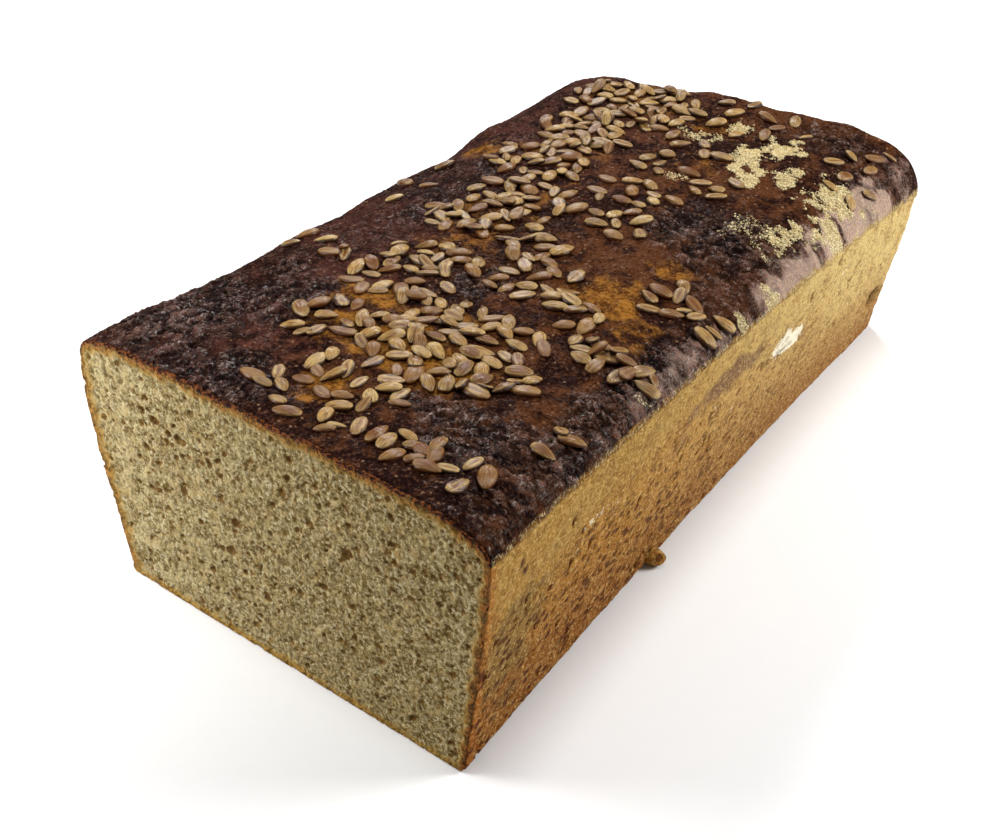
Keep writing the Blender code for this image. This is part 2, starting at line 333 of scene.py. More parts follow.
def wall_gap(x, y, half, end):
    """Distance from a point of the plan to the rounded outline that it lies in."""
    beyond_x = abs(x) - half + END_CORNER_RADIUS
    beyond_y = y - end + END_CORNER_RADIUS
    corner = np.hypot(np.maximum(beyond_x, 0), np.maximum(beyond_y, 0))
    inner = np.minimum(np.maximum(beyond_x, beyond_y), 0)
    return END_CORNER_RADIUS - corner - inner


def quarter_round(share, radius):
    """How far a quarter of a circle falls back, from 0 to its radius."""
    return radius * (1 - np.sqrt(1 - np.clip(share, 0, 1) ** 2))


def shoulder_drop(gap):
    """How far the rounded shoulder lies below the dome, this far inside the outline."""
    return quarter_round(1 - gap / SHOULDER_RADIUS, SHOULDER_RADIUS)


def relief_left(gap):
    """The share of the top's relief that the shoulder keeps, this far inside the outline."""
    return 1 - SHOULDER_FADE * np.clip(1 - gap / SHOULDER_RADIUS, 0, 1)


# Divisions of the top crust: over the dome, round a shoulder and of its hidden underside. Its rings
# run from the cut to the far end, where some turn the corner and the last ones make the lip.
DOME_STEPS, SHOULDER_STEPS, UNDER_STEPS = 204, 8, 12
TOP_CUTS = (7, 48)
TURN_RINGS, LIP_RINGS = 20, 2
# Marks on the top, as x, y, radii in millimetres and strength: thin amber crust, the pale mauve bloom
# of the shoulders and some crumpled spots, lightened there with painted sheen, and meal.
AMBER = (
    (31, -20, 11, 12, 1.0),
    (36, 0, 8, 6, 0.7),
    (44, -29, 6, 8, 0.6),
    (13, -74, 9, 6, 1.0),
    (-9, -63, 8, 5, 0.9),
    (2, -88, 6, 9, 0.8),
    (6, -66, 26, 10, 0.95),
    (-14, -52, 12, 8, 0.9),
    (18, -72, 12, 8, 0.9),
    (10, -50, 16, 8, 0.55),
    (-43, 38, 6, 8, 0.8),
    (-28, 44, 10, 8, 0.6),
    (5, 84, 9, 8, 0.7),
    (-16, 55, 12, 16, 0.4),
    (12, 60, 14, 12, 0.35),
    (-22, 90, 20, 14, 0.6),
    (-14, 0, 14, 34, 0.5),
)
BLOOM_AND_SHEEN = (
    (57, -84, 4, 22, 0.55),
    (57, -36, 5, 36, 0.95),
    (58, 26, 6, 30, 1.15),
    (58, 66, 8, 34, 1.5),
    (57, 98, 7, 12, 0.9),
    (40, -94, 8, 6, 0.5),
    (50, -80, 8, 16, 0.5),
    (-46, -88, 14, 18, 0.5),
    (28, 22, 8, 12, 0.45),
    (4, -30, 7, 9, 0.35),
    (26, -82, 9, 7, 0.45),
)
MEALY = (
    (28, 81, 6, 8, 1.0),
    (23, 70, 5, 9, 1.0),
    (29, 59, 4, 7, 0.9),
    (12, 87, 4, 4, 0.8),
    (4, 78, 7, 5, 0.55),
    (38, 65, 5, 5, 0.9),
    (51, 66, 7, 10, 1.0),
    (55, 52, 4, 9, 0.8),
    (12, 48, 4, 4, 0.5),
    (40, 33, 7, 8, 0.45),
    (50, 37, 4, 10, 0.75),
    (58, 14, 2.5, 6, 0.9),
    (58, 0, 2.5, 3, 0.7),
    (56, -48, 3, 3, 0.5),
)


def meal_at(x, y):
    return patches_at(x, y, MEALY, 8.0, 1.0, 4 * MM)


def top_crust():
    """The dark lid of the loaf: a thick skin that curls down over the shoulders."""
    outer = DOME_STEPS + 2 * SHOULDER_STEPS + 5
    around = outer + UNDER_STEPS
    lid, turn, ring, rings = ringed_tube("top_crust", around, TOP_CUTS)
    step = turn - 2 - SHOULDER_STEPS
    over_left, over_right = -step, step - DOME_STEPS
    past = np.clip(np.maximum(over_left, over_right), 0, SHOULDER_STEPS + 2)
    side = np.where(over_right > 0, 1, -1)
    flat = np.clip(step / DOME_STEPS * 2 - 1, -1, 1)
    curl = np.minimum(past, SHOULDER_STEPS) / SHOULDER_STEPS * math.pi / 2
    lip = np.clip(past - SHOULDER_STEPS, 0, 2) / 2
    under = turn >= outer
    under_share = 1 - 2 * (turn - outer) / (UNDER_STEPS - 1)

    straight_rings = rings - TURN_RINGS - LIP_RINGS
    corner = np.clip((ring - straight_rings) / TURN_RINGS, 0, 1) * math.pi / 2
    lip = np.maximum(lip, np.clip((ring - rings + LIP_RINGS) / LIP_RINGS, 0, 1))
    thick = np.where(under, WALL_DEPTH, 0)

    x = np.where(under, under_share, flat) * TOP_WIDTH / 2
    for _ in range(3):
        across = np.clip(x / (TOP_WIDTH / 2), -1, 1)
        end = end_of(across, 1)
        start = cut_at(x) + BEHIND_CUT
        reach = end - END_CORNER_RADIUS - start
        y = start + reach * np.minimum(ring / straight_rings, 1)
        y = y + (END_CORNER_RADIUS - thick) * np.sin(corner)
        most = half_width(side, 1, y) - END_CORNER_RADIUS * (1 - np.cos(corner))
        over = flat * (most - SHOULDER_RADIUS) + side * SHOULDER_RADIUS * np.sin(curl)
        x = np.where(under, under_share * (most - thick), over)

    half = half_width(side, 1, y)
    gap = wall_gap(x, y, half - thick, end - thick)
    relief = np.zeros(len(x))
    shown = ~under
    relief[shown] = top_relief(x[shown], y[shown])
    ragged = noise_at(flat_points(x, y), 6 * MM, 3, 12.4) * 0.4 * MM
    drop = shoulder_drop(gap) + lip * (LIP + ragged)
    z = top_height(x, y) - drop - thick
    z += relief * relief_left(gap) * (1 - lip)
    dented = np.minimum(relief * 0.5, 0) * np.clip(1 - gap / SHOULDER_RADIUS, 0, 1) ** 2
    x_out = np.where(corner < 1.5, dented * side * (over_left * over_right < 0), 0)
    brim = under & (abs(under_share) > 0.99)
    z = np.where(brim, top_height(x, y) - SHOULDER_RADIUS - LIP * 0.8, z)
    mealy = meal_at(x, y)
    z = np.minimum(z + np.where(under, 0, smooth(mealy) * MEAL_LAYER), HIGHEST)
    put(lid, np.stack([x + x_out, y, z], 1))
    paint(
        lid,
        amber=patches_at(x, y, AMBER, 21.0),
        ashen=patches_at(x, y, BLOOM_AND_SHEEN, 5.0, 0.6),
        mealy=mealy,
        fold=folds_at(x, y) / MM,
        crumple=crumple_at(x, y),
        inward=np.where(under, 5, gap / MM - lip * 0.5),
    )
    return lid


# Divisions of the side crust: down the wall, round the foot and up the hidden inside.
WALL_STEPS, FOOT_STEPS, INSIDE_STEPS = 92, 5, 5
SIDE_CUTS = (14, 54)
FOOT_TURN = 4 * MM
# Marks on the right side, as y, z, radii in millimetres and strength: flour, a mauve smear, a greener tan
# and torn spots.
FLOURY = (
    (27, 35, 8, 4, 1.3),
    (36, 33, 6, 3.5, 1.2),
    (-75, 38, 1.6, 3, 0.42),
    (-68, 41.5, 6, 1.2, 0.48),
    (-60, 39, 3, 1.6, 0.42),
    (-66, 37, 5, 1.0, 0.3),
    (-10, 37, 1.6, 4, 0.5),
    (2, 30, 1.4, 2, 0.4),
    (62, 40, 9, 4, 0.3),
)
SMEARED = (
    (-5, 43, 26, 5, 1.0),
    (16, 46, 12, 3, 0.5),
    (-28, 35, 10, 5, 0.5),
)
OLIVE = (
    (-100, 28, 16, 20, 1.0),
    (-84, 36, 14, 8, 0.6),
    (-60, 50, 60, 8, 0.5),
)
TORN = (
    (-100.5, 51.5, 1.0, 1.4, 1.0),
    (-99, 49, 1.3, 1.5, 1.0),
    (-70, 38.8, 4, 0.7, 0.7),
    (-61, 36.5, 2, 0.6, 0.6),
)


def side_crust():
    """The tan wall round three sides: a skin that turns under at the foot."""
    around = WALL_STEPS + 1 + FOOT_STEPS + INSIDE_STEPS
    wall, turn, ring, rings = ringed_tube("side_crust", around, SIDE_CUTS)
    inside = turn > WALL_STEPS + FOOT_STEPS
    up = np.clip(1 - turn / WALL_STEPS, 0, 1)
    foot = np.clip((turn - WALL_STEPS) / FOOT_STEPS, 0, 1)
    inner_up = (turn - WALL_STEPS - FOOT_STEPS - 1) / (INSIDE_STEPS - 1)
    height_share = np.where(inside, np.clip(inner_up, 0.04, 0.96), up)
    thick = np.where(inside, WALL_DEPTH, 0)
    tuck = np.where(inside, 0, foot * FOOT_TURN)

    long_side = LOAF_LENGTH - END_CORNER_RADIUS
    arc = END_CORNER_RADIUS * math.pi / 2
    end_width = TOP_WIDTH - 2 * END_CORNER_RADIUS
    whole = 2 * long_side + 2 * arc + end_width
    walk = ring / rings * whole
    on_right = walk < whole / 2
    from_cut = np.where(on_right, walk, whole - walk)
    side = np.where(on_right, 1, -1)
    corner = np.clip((from_cut - long_side) / arc, 0, 1) * math.pi / 2
    end_share = 1 - np.clip((from_cut - long_side - arc) / (end_width / 2), 0, 1)

    radius = END_CORNER_RADIUS
    end = end_of(side * end_share, height_share)
    x = side * half_width(side, height_share, end - radius)
    for _ in range(3):
        start = cut_at(x) + BEHIND_CUT
        reach = end - radius - start
        y = start + reach * np.minimum(from_cut / long_side, 1) + radius * np.sin(corner)
        half = half_width(side, height_share, y)
        x = side * (half - radius * (1 - np.cos(corner))) * np.where(corner < 1.57, 1, end_share)

    edge = top_height(x, y) - SHOULDER_RADIUS - 0.2 * MM
    z = edge * height_share
    out_x, out_y = side * np.cos(corner), np.sin(corner)
    base = np.stack([x, y, z], 1)
    relief = np.zeros(len(x))
    pits = np.zeros(len(x))
    shown = ~inside
    relief[shown], pits[shown] = side_relief(base[shown], z[shown])
    covered = smooth(1 - (edge - z) / (2.2 * MM))
    relief = relief * (1 - 0.6 * covered) - 0.35 * MM * covered
    hole_y, hole_z = (place * MM for place in HOLE_PLACE)
    deep, wide, tall = (radius_mm * MM for radius_mm in HOLE_RADII)
    uneven = noise_at(base, 2.5 * MM, 2, 1.1) * 0.25
    away = np.hypot((y - hole_y) / wide, (z - hole_z) / tall) + uneven
    hole = smooth(1.25 - away) * (side > 0) * (corner < 1)
    hollow = np.where(inside, 0, hole * deep * 0.9)
    foot_round = quarter_round(1 - z / FOOT_ROUNDING, FOOT_ROUNDING)
    inset = thick + tuck + foot_round - relief * (foot < 0.01) + hollow
    outer_z = np.where(foot > 0, LEAST_HEIGHT, np.maximum(z, LEAST_HEIGHT))
    z = np.where(inside, np.maximum(z, WALL_DEPTH), outer_z)
    put(wall, np.stack([x - out_x * inset, y - out_y * inset, z], 1))
    right = (side > 0) & (corner < 0.8)
    uneven_cut = from_cut + noise_at(base, 3 * MM, 2, 6.6) * MM
    paint(
        wall,
        up=z / (60 * MM),
        pit=np.clip(pits / (0.7 * MM), 0, 1),
        hole=hole,
        floury=patches_at(y, z, FLOURY, 14.0, 0.6, 9 * MM) * right,
        smeared=patches_at(y, z, SMEARED, 17.0, 0.5) * right,
        olive=patches_at(y, z, OLIVE, 19.0, 0.5) * right,
        torn=patches_at(y, z, TORN, 23.0, 0.5, 2 * MM) * right,
        near_cut=smooth(1.3 - uneven_cut / (2.6 * MM)),
    )
    return wall


def base_crust():
    """The flat underside: a plate inside the foot of the sides."""
    plate = begin("base_crust", bpy.ops.mesh.primitive_cube_add, size=2)
    bpy.ops.object.mode_set(mode="EDIT")
    divide(0, (19,))
    divide(1, (49,))
    bpy.ops.object.mode_set(mode="OBJECT")
    across, along, up = coordinates(plate).T
    set_in = FOOT_ROUNDING + 0.5 * MM
    turn = np.clip((along - 0.9) / 0.1, 0, 1) * math.pi / 2
    end = end_of(across, 0) - set_in
    x = across * BOTTOM_WIDTH / 2
    for _ in range(3):
        start = cut_at(x) + BEHIND_CUT
        y = start + (end - END_CORNER_RADIUS - start) * np.minimum((along + 1) / 1.9, 1)
        y = y + END_CORNER_RADIUS * np.sin(turn)
        half = half_width(across, 0, y) - set_in
        x = across * (half - END_CORNER_RADIUS * (1 - np.cos(turn)))
    z = np.where(up > 0, WALL_DEPTH, 0.0)
    put(plate, np.stack([x, y, z], 1))
    return plate


# Divisions of the cut face, and the rings of the crumb behind it: how far behind the cut and how far
# inside the crust's outer face they lie, in millimetres.
FACE_ACROSS, FACE_UP = 372, 212
CRUMB_STATIONS = (0, 1.0, 1.8, 12, 40, 80, 120, 160, 190, 203)
CRUMB_INSETS = (0.1, 0.1, 2.1, 2.1, 2.1, 2.1, 2.1, 2.1, 2.1, 3.5)
# Pores: small ones given as pits are, and large ones as x, z, radii and depth in millimetres.
FINE_PORES = (
    (3.4 * MM, 0.3, 3.7, 0.32),
    (2.4 * MM, 0.55, 9.1, 0.42),
    (1.5 * MM, 0.8, 14.2, 0.45),
)
LARGE_PORES = (
    (-36, 51, 1.5, 1.2, 1.2),
    (-28, 49, 1.9, 1.4, 1.6),
    (-12, 34, 1.6, 1.3, 1.3),
    (22, 43, 1.7, 1.2, 1.3),
    (-15, 25, 1.5, 1.1, 1.2),
    (-40, 42, 1.2, 1.0, 0.9),
    (4, 50, 1.3, 1.0, 1.0),
    (14, 30, 1.4, 0.9, 1.1),
    (35, 52, 1.2, 0.9, 0.9),
    (-4, 17, 1.3, 1.0, 1.0),
    (30, 18, 1.2, 0.9, 1.0),
)
# How far the cut face is toasted from each edge.
TOASTED_TOP, TOASTED_LEFT, TOASTED_RIGHT, TOASTED_FOOT = 2.9 * MM, 3.4 * MM, 2.3 * MM, 2.2 * MM


def crumb_block():
    """A closed block: a fine grid for the cut face, with rings behind it."""
    sizes = {"x_subdivisions": FACE_ACROSS, "y_subdivisions": FACE_UP, "size": 2}
    block = begin("crumb", bpy.ops.mesh.primitive_grid_add, **sizes)
    bpy.ops.object.mode_set(mode="EDIT")
    bpy.ops.mesh.select_mode(type="EDGE")
    bpy.ops.mesh.select_all(action="DESELECT")
    bpy.ops.mesh.select_non_manifold()
    for _ in CRUMB_STATIONS[1:]:
        bpy.ops.mesh.extrude_region_move(TRANSFORM_OT_translate={"value": (0, 0, -1)})
    bpy.ops.mesh.edge_face_add()
    bpy.ops.object.mode_set(mode="OBJECT")
    return block


def face_pores(points):
    """Depth of the pores at points of the cut face, given as x, 0 and z."""
    pores = np.zeros(len(points))
    for size, portion, draw, largest in FINE_PORES:
        sway_x, sway_z = (noise_at(points, 1.6 * MM, 2, draw + turn) for turn in (0, 3))
        warped = points * (1, 1, 1.15) + np.stack([sway_x, 0 * sway_x, sway_z], 1) * 0.6 * MM
        pores = np.maximum(pores, pits_at(warped, size, portion, draw, largest))
    x, _, z = points.T / MM
    for pore_x, pore_z, radius_x, radius_z, deep in LARGE_PORES:
        away = np.hypot((x - pore_x) / radius_x, (z - pore_z) / radius_z)
        pores = np.maximum(pores, np.sqrt(np.clip(1 - away**2, 0, 1)) * deep * MM)
    return pores


def toasting(points, to_top, to_side, side):
    """How toasted the cut face is near its edges, how burnt it is there, and where its very skin is."""
    uneven = noise_at(points, 2.2 * MM, 3, 30.3) * MM
    near_top = smooth(1.35 - (to_top + uneven) / TOASTED_TOP)
    near_left = smooth(1.3 - (to_side + uneven * 1.3) / TOASTED_LEFT) * (side < 0)
    near_right = smooth(1.3 - (to_side + uneven) / TOASTED_RIGHT) * (side > 0)
    near_foot = smooth(1.2 - (points[:, 2] + uneven) / TOASTED_FOOT)
    rim = np.maximum.reduce([near_top, near_left, near_right, near_foot])
    burnt = np.maximum.reduce([near_top * 0.8, near_left * 0.5, near_right])
    outermost = smooth(1.4 - (to_top + uneven * 0.5) / (0.9 * MM))
    return rim, burnt, np.maximum(outermost, smooth(1 - to_side / (0.6 * MM)))


def crumb():
    """The inside of the loaf, with the fine pores of its cut face. It fills the crust."""
    block = crumb_block()
    across, up, depth = coordinates(block).T
    ring = np.rint(-depth).astype(int)
    behind = np.array(CRUMB_STATIONS)[ring] * MM
    inset = np.array(CRUMB_INSETS)[ring] * MM

    # Across, the last steps at each side bend round the shoulder.
    bend = SHOULDER_RADIUS / (TOP_WIDTH / 2)
    share = (up + 1) / 2
    x = across * TOP_WIDTH / 2
    side = np.where(across > 0, 1, -1)
    for _ in range(3):
        room = end_of(x / (TOP_WIDTH / 2), share) - WALL_DEPTH - cut_at(x)
        y = cut_at(x) + behind * np.where(ring < 3, 1, room / (CRUMB_STATIONS[-1] * MM))
        half = half_width(side, share, y)
        over = np.clip((abs(across) - 1 + bend) / bend, 0, 1) * math.pi / 2
        reach = np.minimum(abs(across) / (1 - bend), 1) * (half - SHOULDER_RADIUS)
        x = side * (reach + SHOULDER_RADIUS * np.sin(over))
    lid_half = half_width(side, 1, y)
    top_x = x * lid_half / half
    gap = np.maximum(lid_half - abs(top_x), 0)
    crest = top_height(top_x, y) - shoulder_drop(gap)
    lid_relief = top_relief(top_x, cut_at(top_x) + BEHIND_CUT)
    crest += np.where(ring < 2, lid_relief * relief_left(gap), 0)
    foot = LEAST_HEIGHT + quarter_round(1 - (half - abs(x)) / FOOT_ROUNDING, FOOT_ROUNDING)
    z = foot + inset + (crest - foot - 2 * inset) * share
    wall_points = np.stack([side * half, cut_at(side * half) + BEHIND_CUT, z], 1)
    wall_relief = np.where(ring < 2, side_relief(wall_points, z)[0], 0)
    x = x * (half + wall_relief - inset) / half

    face = ring == 0
    points = np.stack([x, 0 * x, z], 1)
    pores, lumps = np.zeros((2, len(x)))
    pores[face] = face_pores(points[face])
    lumps[face] = noise_at(points[face], 1.7 * MM, 3, 4.4)
    to_top, to_side = crest - z, half - abs(x)
    rim, burnt, outermost = toasting(points, to_top, to_side, side)
    set_back = 0.35 * MM * (1 - rim) + pores * 0.7 * (1 - 0.6 * rim) - lumps * 0.4 * MM
    at_edge = np.minimum(to_top, to_side) < 2.2 * MM
    set_back = np.where(at_edge, np.minimum(set_back, 0.6 * MM), set_back)
    y = y + np.where(face, np.maximum(set_back, 0.02 * MM), 0)
    put(block, np.stack([x, y, z], 1))
    paint(
        block,
        pore=np.clip(pores / (0.9 * MM), 0, 1),
        rim=np.where(ring < 3, rim, 1),
        burnt=np.where(ring < 3, burnt, 0),
        outermost=np.where(ring < 3, outermost, 0),
    )
    return block


# Where the seeds fell, as x, y, the patch's radii across and along, in millimetres, and how many.
SEED_PATCHES = (
    (38, -98, 14, 6, 13),
    (10, -98, 13, 5, 8),
    (-8, -93, 8, 4, 4),
    (6, -84, 14, 8, 16),
    (14, -65, 25, 11, 46),
    (-15, -67, 9, 9, 9),
    (12, -49, 20, 7, 22),
    (46, -43, 12, 5, 15),
    (52, -77, 3, 5, 3),
    (-13, -43, 15, 8, 14),
    (-36, -37, 5, 3, 3),
    (-12, -28, 14, 9, 19),
    (14, -24, 12, 10, 14),
    (29, -32, 6, 5, 6),
    (44, -12, 7, 9, 9),
    (57, -13, 2, 6, 3),
    (-14, -2, 20, 11, 25),
    (5, -10, 8, 8, 8),
    (-14, 17, 16, 9, 20),
    (14, 15, 8, 9, 8),
    (-24, 38, 15, 11, 23),
    (6, 33, 14, 8, 11),
    (-24, 60, 14, 13, 34),
    (-21, 85, 20, 16, 50),
    (5, 60, 14, 14, 11),
    (14, 93, 20, 10, 10),
    (25, 48, 8, 6, 5),
    (50, 86, 8, 19, 9),
    (-48, -32, 7, 8, 3),
    (-46, 18, 5, 22, 4),
)
SEED_DRAW = 41
SEED_LENGTHS = (7.2 * MM, 5.2 * MM)  # of the first and the last to fall
SEED_LENGTH_SPREAD = 0.6 * MM
SEED_WIDTH_SHARES = (0.5, 0.62)  # of the length
SEED_DEPTH_SHARE = 0.6  # of the width
SEED_SINK = 0.3  # of the depth
SEED_STEEPEST = 0.55
SEED_LIES_ON = 90  # the percentile of the bed's heights under a seed that carries it
SEED_ROOM = 1.12  # over a seed's own height, below the highest point
PLACES_TRIED = 7
SEED_REACH = 55.5  # no seed's middle lies further right, in millimetres
BED_CELL = 1 * MM
UNCUT_EXTRA = 16 * MM  # the bed reaches this far past both ends


def order_of_fall():
    """The patch that each seed falls on, one after the other, so that any first part is evenly spread."""
    turns = []
    for index, patch in enumerate(SEED_PATCHES):
        count = patch[-1]
        turns += [((k + 0.5) / count, index) for k in range(count)]
    return [SEED_PATCHES[index] for _, index in sorted(turns)]


def clear_place(draw, patch, taken):
    """Of a few random places in the patch, the one furthest from the seeds that are there."""
    x, y, radius_x, radius_y, _ = patch
    best, best_gap = None, -1
    for _ in range(PLACES_TRIED):
        turn = draw.uniform(0, 2 * math.pi)
        reach = math.sqrt(draw.random())
        across = x + radius_x * reach * math.cos(turn)
        along = y + radius_y * reach * math.sin(turn)
        place = Vector((min(across, SEED_REACH), along)) * MM
        gap = min([(place - other).length for other in taken], default=1)
        if gap > best_gap:
            best, best_gap = place, gap
    return best


def bed_of_crust():
    """Heights of what a seed can land on, in cells over the top, and the cells' places."""
    xs = np.arange(-TOP_WIDTH / 2, TOP_WIDTH / 2, BED_CELL)
    ys = np.arange(-LOAF_LENGTH / 2 - UNCUT_EXTRA, LOAF_LENGTH / 2 + UNCUT_EXTRA, BED_CELL)
    grid_x, grid_y = np.meshgrid(xs, ys, indexing="ij")
    relief = top_relief(grid_x.ravel(), grid_y.ravel()).reshape(grid_x.shape)
    return grid_x, grid_y, top_height(grid_x, grid_y) + relief


def rest_on_bed(bed, place, turn, size):
    """Lays a seed on the bed, leaning as the bed does, raises the bed by it, and gives its matrix."""
    grid_x, grid_y, heights = bed
    away_x, away_y = grid_x - place.x, grid_y - place.y
    along = away_x * math.cos(turn) + away_y * math.sin(turn)
    across = -away_x * math.sin(turn) + away_y * math.cos(turn)
    length, width, depth = size
    inside = (along / (length / 2)) ** 2 + (across / (width / 2)) ** 2
    under = inside < 1
    if not under.any():
        return None
    a, c, h = along[under], across[under], heights[under]
    ones = np.ones_like(a)
    slope_a, slope_c, _ = np.linalg.lstsq(np.stack([a, c, ones], 1), h, rcond=None)[0]
    slope_a, slope_c = np.clip((slope_a, slope_c), -SEED_STEEPEST, SEED_STEEPEST)
    belly = depth / 2 * np.sqrt(1 - inside[under])
    clearance = h - slope_a * a - slope_c * c + belly
    level = np.percentile(clearance, SEED_LIES_ON) - SEED_SINK * depth
    back = level + slope_a * a + slope_c * c + belly
    heights[under] = np.maximum(h, back)
    forward = Vector((math.cos(turn), math.sin(turn), slope_a)).normalized()
    side = Vector((-math.sin(turn), math.cos(turn), slope_c)).normalized()
    up = forward.cross(side).normalized()
    side = up.cross(forward)
    turned = Matrix((forward, side, up)).transposed()
    reach_up = math.hypot(*(part * up_share / 2 for part, up_share in zip(size, turned[2])))
    centre = Vector((place.x, place.y, min(level, HIGHEST - SEED_ROOM * reach_up)))
    return Matrix.LocRotScale(centre, turned.to_quaternion(), Vector(size))


def seed_matrices():
    """Where all seeds lie, in the order in which they fell."""
    draw = random.Random(SEED_DRAW)
    bed = bed_of_crust()
    fall = order_of_fall()
    taken, matrices = [], []
    for number, patch in enumerate(fall):
        place = clear_place(draw, patch, taken)
        taken.append(place)
        longest, shortest = SEED_LENGTHS
        length = longest + (shortest - longest) * number / len(fall)
        length += draw.uniform(-SEED_LENGTH_SPREAD, SEED_LENGTH_SPREAD)
        width = length * draw.uniform(*SEED_WIDTH_SHARES)
        size = (length, width, width * SEED_DEPTH_SHARE)
        matrix = rest_on_bed(bed, place, draw.uniform(0, 2 * math.pi), size)
        if matrix:
            matrices.append(matrix)
    return matrices


# Kernel shapes: how blunt the round end is, how drawn out the pointed one, how full the lower cheek is
# and how high the upper face stands: above 1 whole, below that flat, and dished below half.
KERNELS = (
    (0.5, 0.68, 0.95, 1.05),
    (0.5, 0.6, 1.0, 0.85),
    (0.42, 0.8, 0.85, 1.05),
    (0.5, 0.55, 0.8, 0.45),
    (0.45, 0.7, 0.8, 0.3),
)
KERNEL_SHARES = (0.28, 0.22, 0.18, 0.2, 0.12)
DISHED = (3, 4)


def kernel(blunt, pointed, lower, face):
    """A shelled sunflower seed of unit length, width and depth, pointed at +X, with flattened cheeks."""
    made = begin("kernel", bpy.ops.mesh.primitive_uv_sphere_add, segments=12, ring_count=7, radius=1)
    bpy.ops.transform.rotate(value=math.pi / 2, orient_axis="Y", center_override=(0, 0, 0))
    bpy.ops.object.transform_apply(location=False, rotation=True, scale=False)
    x, y, z = coordinates(made).T
    share = (x + 1) / 2
    radius = np.hypot(y, z)
    tip = radius < 1e-6
    safe = np.where(tip, 1, radius)
    y, z = y / safe, z / safe
    peak = blunt / (blunt + pointed)
    girth = share**blunt * (1 - share) ** pointed / (peak**blunt * (1 - peak) ** pointed)
    girth = np.where(tip, 0, girth)
    flattened = np.clip(2 - 2.2 * abs(x), 0, 1)
    upper = z * 1.05
    upper += (np.minimum(upper, face) - upper) * flattened
    z = np.where(z < 0, z * lower, upper)
    shaped = np.stack([x / 2, y * girth / 2, z * girth / 2], 1)
    made.data.vertices.foreach_set("co", shaped.ravel())
    return made


def join_copies(name, models, matrices, choices):
    """One mesh with a copy of a chosen model at each matrix, and for each vertex the number of its copy
    and its place in the model."""
    faces, places, numbers, plain = [], [], [], []
    count = 0
    shapes = [coordinates(model) for model in models]
    corner_lists = [[tuple(polygon.vertices) for polygon in model.data.polygons] for model in models]
    for number, (matrix, choice) in enumerate(zip(matrices, choices)):
        shape, corners = shapes[choice], corner_lists[choice]
        turned = shape @ np.array(matrix.to_3x3()).T + np.array(matrix.translation)
        places.append(turned)
        plain.append(shape)
        faces += [tuple(corner + count for corner in face) for face in corners]
        numbers.append(np.full(len(shape), number))
        count += len(shape)
    mesh = bpy.data.meshes.new(name)
    mesh.from_pydata(np.concatenate(places).tolist(), [], faces)
    mesh.update()
    piece = bpy.data.objects.new(name, mesh)
    bpy.context.scene.collection.objects.link(piece)
    for model in models:
        bpy.data.objects.remove(model)
    put(piece, np.concatenate(places))
    return piece, np.concatenate(numbers), np.concatenate(plain)


def sunflower_seeds():
    """All the kernels on the top crust, as one joined mesh."""
    matrices = seed_matrices()
    draw = np.random.default_rng(5)
    choices = draw.choice(len(KERNELS), len(matrices), p=KERNEL_SHARES)
    models = [kernel(*shape) for shape in KERNELS]
    piece, number, plain = join_copies("sunflower_seeds", models, matrices, choices)
    tone = draw.random(len(matrices))
    toast = draw.random(len(matrices)) ** 1.4
    hollow = np.isin(choices, DISHED) | (draw.random(len(matrices)) > 0.8)
    x, y, z = plain.T
    facing = z / np.maximum(np.hypot(y, z), 1e-6)
    face = smooth((facing - 0.62) / 0.3) * np.clip(2 - 2.2 * abs(x) * 2, 0, 1)
    paint(piece, tone=tone[number], toast=toast[number], hollow=hollow[number])
    paint(piece, along=x * 2, across=y * 2, facing=facing, face=face)
    return piece


GRAINS_TRIED = 26  # for each square millimetre that a meal patch's two radii span
GRAIN_SIZES = (0.25 * MM, 0.6 * MM)
MEAL_ENDS = 58 * MM  # no grain lies further right


def loose_meal():
    """Cream grains of coarse meal that stick to the crust in patches."""
    model = begin("grain", bpy.ops.mesh.primitive_ico_sphere_add, subdivisions=1, radius=0.5)
    draw = np.random.default_rng(9)
    spots = []
    for x, y, radius_x, radius_y, _ in MEALY:
        count = round(radius_x * radius_y * GRAINS_TRIED)
        turn = draw.uniform(0, 2 * math.pi, count)
        reach = draw.random(count) ** 0.5 * 1.4
        around = (radius_x * reach * np.cos(turn), radius_y * reach * np.sin(turn))
        spots.append(np.stack(around, 1) + (x, y))
    x, y = np.concatenate(spots).T * MM
    strength = meal_at(x, y)
    kept = (strength > draw.uniform(0.25, 0.85, len(x))) & (x < MEAL_ENDS)
    x, y = x[kept], y[kept]
    gap = half_width(1, 1, y) - abs(x)
    ground = top_height(x, y) - shoulder_drop(gap) + top_relief(x, y)
    ground += smooth(strength[kept]) * MEAL_LAYER
    sizes = GRAIN_SIZES[0] + (GRAIN_SIZES[1] - GRAIN_SIZES[0]) * draw.random(len(x)) ** 1.8
    matrices = []
    for x_i, y_i, z_i, size in zip(x, y, ground, sizes):
        centre = Vector((x_i, y_i, z_i + size * 0.2))
        turned = Matrix.Rotation(draw.uniform(0, 6.28), 3, Vector(draw.normal(size=3)).normalized())
        shape = Vector(draw.uniform(0.7, 1.2, 3)) * size
        matrices.append(Matrix.LocRotScale(centre, turned.to_quaternion(), shape))
    piece, number, _ = join_copies("loose_meal", [model], matrices, [0] * len(matrices))
    paint(piece, tone=draw.random(len(matrices))[number])
    return piece


def dough_lump():
    """A lump of dough that ran out at the foot of the right side."""
    lump = begin("dough_lump", bpy.ops.mesh.primitive_ico_sphere_add, subdivisions=4, radius=1)
    places = coordinates(lump)
    swell = 1 + noise_at(places, 0.8, 3, 2.0)[:, None] * 0.1
    shaped = (places * swell * LUMP_RADII + LUMP_PLACE) * MM
    shaped[:, 2] = np.maximum(shaped[:, 2], 0.1 * MM)
    put(lump, shaped)
    paint(lump, up=0.4, pit=0.0, hole=0.0, floury=0.0, smeared=0.0, olive=0.0, torn=0.0, near_cut=0.0)
    return lump


